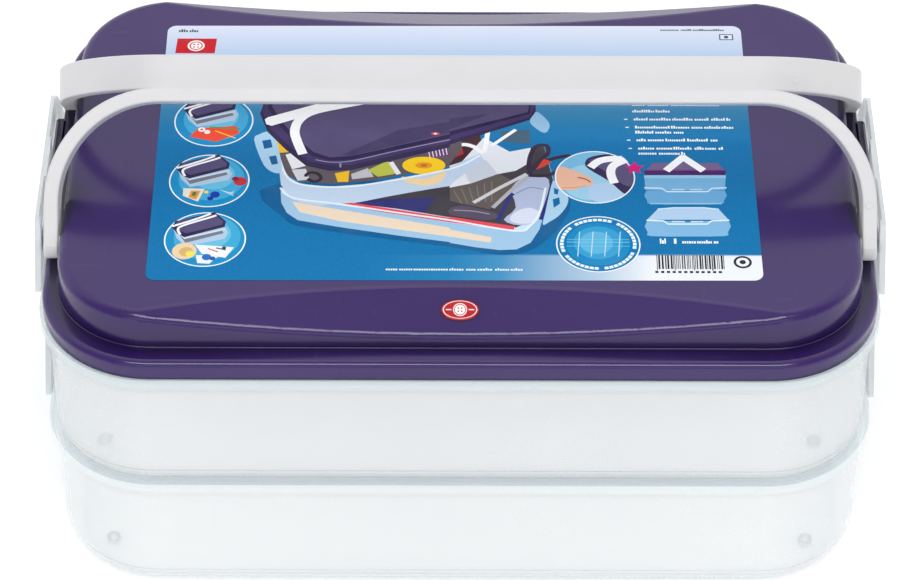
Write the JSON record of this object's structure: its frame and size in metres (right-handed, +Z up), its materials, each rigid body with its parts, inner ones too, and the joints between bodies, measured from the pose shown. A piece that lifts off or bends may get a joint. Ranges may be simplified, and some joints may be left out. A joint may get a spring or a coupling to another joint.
{
  "type": "stackable sewing box",
  "caption": "Sewing box: click-together translucent trays under a domed lid with folding U-shaped carry handles and hinged snap flaps at both ends.",
  "frame": {"origin": "on the floor under the middle of the closed box, between the four feet", "axes": "+X along the box's length to its right-hand end, +Y from the front to the rear, +Z up"},
  "size_m": [0.4358, 0.288, 0.2355],
  "materials": {
    "tray_plastic": "milky translucent, smooth",
    "flap_plastic": "milky translucent, smooth",
    "lid_plastic": "glossy dark violet",
    "handle_plastic": "satin white",
    "label_film": "printed satin film",
    "badge_plastic": "glossy red"
  },
  "bodies": {
    "tray_lower": {"tray_lower": "tray_plastic"},
    "tray_upper": {"tray_upper": "tray_plastic"},
    "lid": {"lid": "lid_plastic", "top_label": "label_film", "badge": "badge_plastic"},
    "handle_front": {"handle_front": "handle_plastic"},
    "handle_rear": {"handle_rear": "handle_plastic"},
    "flap_lower_left": {"flap_lower_left": "flap_plastic"},
    "flap_lower_right": {"flap_lower_right": "flap_plastic"},
    "flap_upper_left": {"flap_upper_left": "flap_plastic"},
    "flap_upper_right": {"flap_upper_right": "flap_plastic"}
  },
  "joints": [
    {"name": "upper_tray_lift", "type": "slide", "parent": "tray_lower", "child": "tray_upper", "axis": [0, 0, 1], "range_m": [0, 0.12]},
    {"name": "lid_lift", "type": "slide", "parent": "tray_upper", "child": "lid", "axis": [0, 0, 1], "range_m": [0, 0.12]},
    {"name": "handle_front_fold", "type": "hinge", "parent": "lid", "child": "handle_front", "pos_m": [0, -0.062, 0.1726], "axis": [1, 0, 0], "range_deg": [0, 132.7]},
    {"name": "handle_rear_fold", "type": "hinge", "parent": "lid", "child": "handle_rear", "pos_m": [0, 0.062, 0.1726], "axis": [-1, 0, 0], "range_deg": [0, 132.7]},
    {"name": "flap_lower_left_open", "type": "hinge", "parent": "tray_lower", "child": "flap_lower_left", "pos_m": [-0.2157, 0, 0.0733], "axis": [0, -1, 0], "range_deg": [0, 165]},
    {"name": "flap_lower_right_open", "type": "hinge", "parent": "tray_lower", "child": "flap_lower_right", "pos_m": [0.2157, 0, 0.0733], "axis": [0, 1, 0], "range_deg": [0, 165]},
    {"name": "flap_upper_left_open", "type": "hinge", "parent": "tray_upper", "child": "flap_upper_left", "pos_m": [-0.2157, 0, 0.1467], "axis": [0, -1, 0], "range_deg": [0, 165]},
    {"name": "flap_upper_right_open", "type": "hinge", "parent": "tray_upper", "child": "flap_upper_right", "pos_m": [0.2157, 0, 0.1467], "axis": [0, 1, 0], "range_deg": [0, 165]}
  ]
}
